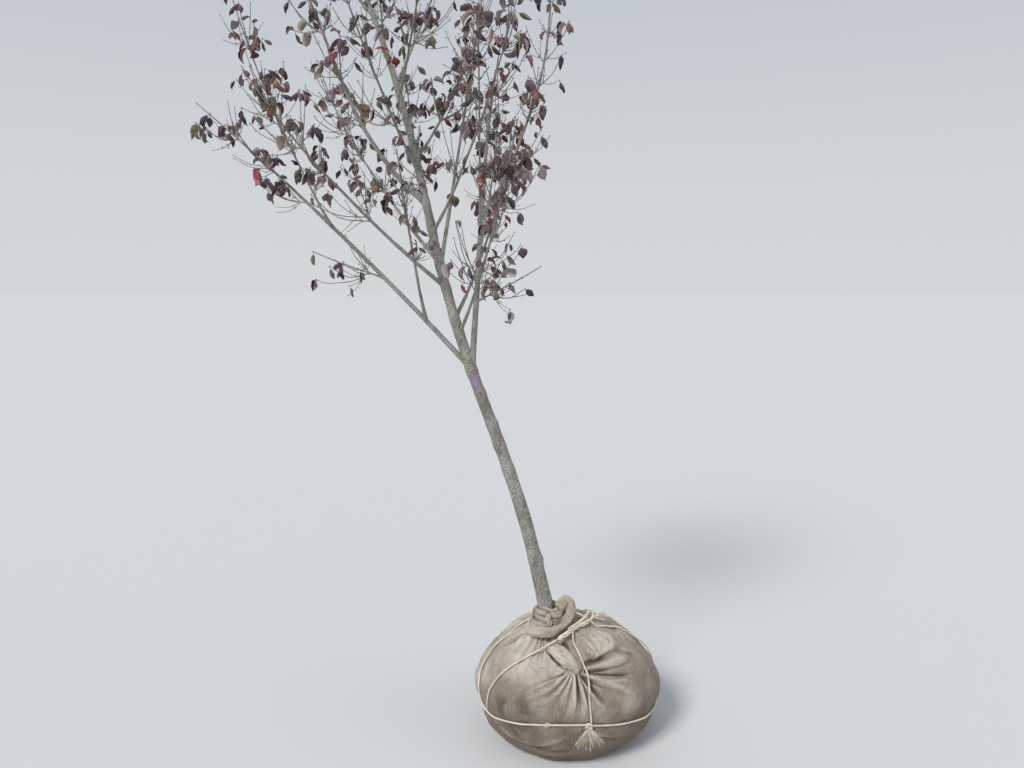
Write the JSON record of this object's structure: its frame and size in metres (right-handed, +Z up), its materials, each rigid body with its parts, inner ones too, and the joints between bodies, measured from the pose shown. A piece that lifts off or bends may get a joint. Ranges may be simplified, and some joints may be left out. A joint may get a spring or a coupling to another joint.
{
  "type": "sapling with wrapped root ball",
  "caption": "Young balled-and-burlapped tree: leaning tapered trunk, open vase crown of upright whips with curled autumn leaves, twine-tied root ball.",
  "frame": {"origin": "middle of the flat underside of the root ball", "axes": "+Z up along the height of the tree, +X towards the right in the picture (the trunk leans towards -X), +Y away from the camera"},
  "size_m": [1.7391, 0.9823, 3.4252],
  "materials": {
    "bark": "matt grey bark with fine light and dark flecks",
    "foliage": "dull plum to brown autumn leaves on grey twigs",
    "burlap": "coarse tan jute weave, soiled towards the base",
    "twine": "pale two-ply sisal"
  },
  "bodies": {
    "root": {"root_ball": "burlap", "burlap_collar": "burlap", "burlap_roll": "burlap", "knot_girdle": "twine", "twine_girdle": "twine", "twine_bundle": "twine", "twine_front": "twine", "twine_front_left": "twine", "twine_left": "twine", "twine_back_left": "twine", "twine_back": "twine", "twine_right": "twine", "trunk": "bark", "bough_left_low": "bark", "bough_right_fork": "bark", "bough_front_low": "bark", "bough_back_low": "bark", "bough_left_middle": "bark", "bough_inner_upright": "bark", "bough_left_inner": "bark", "bough_front_middle": "bark", "bough_back_middle": "bark", "bough_left_high": "bark", "bough_front_high": "bark", "bough_back_high": "bark", "bough_front_top": "bark", "bough_right_high": "bark", "bough_back_top": "bark", "bough_left_top": "bark", "bough_left_upright": "bark", "bough_left_spur": "bark", "bough_left_whip": "bark", "bough_right_bend": "bark", "bough_right_spur": "bark", "bough_right_back": "bark", "bough_right_front": "bark", "foliage_crown_top": "foliage", "foliage_left_low": "foliage", "foliage_right_fork": "foliage", "foliage_front_low": "foliage", "foliage_back_low": "foliage", "foliage_left_middle": "foliage", "foliage_inner_upright": "foliage", "foliage_left_inner": "foliage", "foliage_front_middle": "foliage", "foliage_back_middle": "foliage", "foliage_left_high": "foliage", "foliage_front_high": "foliage", "foliage_back_high": "foliage", "foliage_front_top": "foliage", "foliage_right_high": "foliage", "foliage_back_top": "foliage", "foliage_left_top": "foliage", "foliage_left_upright": "foliage", "foliage_left_spur": "foliage", "foliage_left_whip": "foliage", "foliage_right_bend": "foliage", "foliage_right_spur": "foliage", "foliage_right_back": "foliage", "foliage_right_front": "foliage"}
  },
  "joints": []
}
